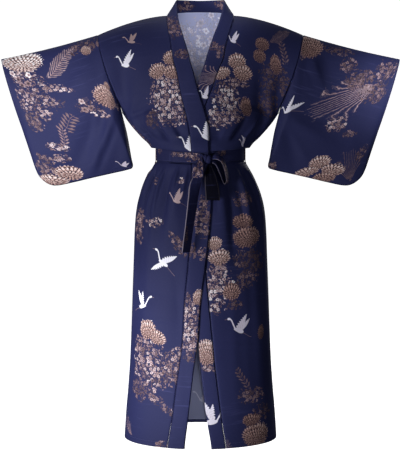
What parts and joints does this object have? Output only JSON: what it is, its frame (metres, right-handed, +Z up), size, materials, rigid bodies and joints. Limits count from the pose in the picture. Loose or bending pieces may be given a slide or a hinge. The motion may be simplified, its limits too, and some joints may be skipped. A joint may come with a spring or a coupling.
{
  "type": "cotton yukata robe",
  "caption": "Long wrap robe with wide open-ended bag sleeves, a neckband down both fronts and a belt tied in a bow, held in its worn, hollow shape.",
  "frame": {"origin": "base of the neck, midway between the shoulders on the shoulder line, where the wearer carries the robe", "axes": "+Z up, -Y to the front, +X to the wearer's left"},
  "size_m": [1.1936, 0.3207, 1.3114],
  "materials": {
    "body_cloth": "printed cotton sateen, navy with flowers and cranes",
    "sleeve_cloth": "printed cotton sateen, navy with flowers and cranes",
    "neckband_cloth": "printed cotton sateen over interlining",
    "belt_cloth": "printed cotton sateen, folded and pressed",
    "carrier_cloth": "narrow folded cotton strip, bronze print"
  },
  "bodies": {
    "root": {"back_bodice": "body_cloth", "back_skirt": "body_cloth", "front_right_bodice": "body_cloth", "front_right_skirt": "body_cloth", "front_left_bodice": "body_cloth", "front_left_skirt": "body_cloth", "sleeve_right": "sleeve_cloth", "sleeve_left": "sleeve_cloth", "neckband": "neckband_cloth", "belt": "belt_cloth", "belt_carrier_right": "carrier_cloth", "belt_carrier_left": "carrier_cloth", "knot": "belt_cloth", "bow_loop_right": "belt_cloth", "bow_loop_left": "belt_cloth", "tail_right": "belt_cloth", "tail_left": "belt_cloth"}
  },
  "joints": []
}
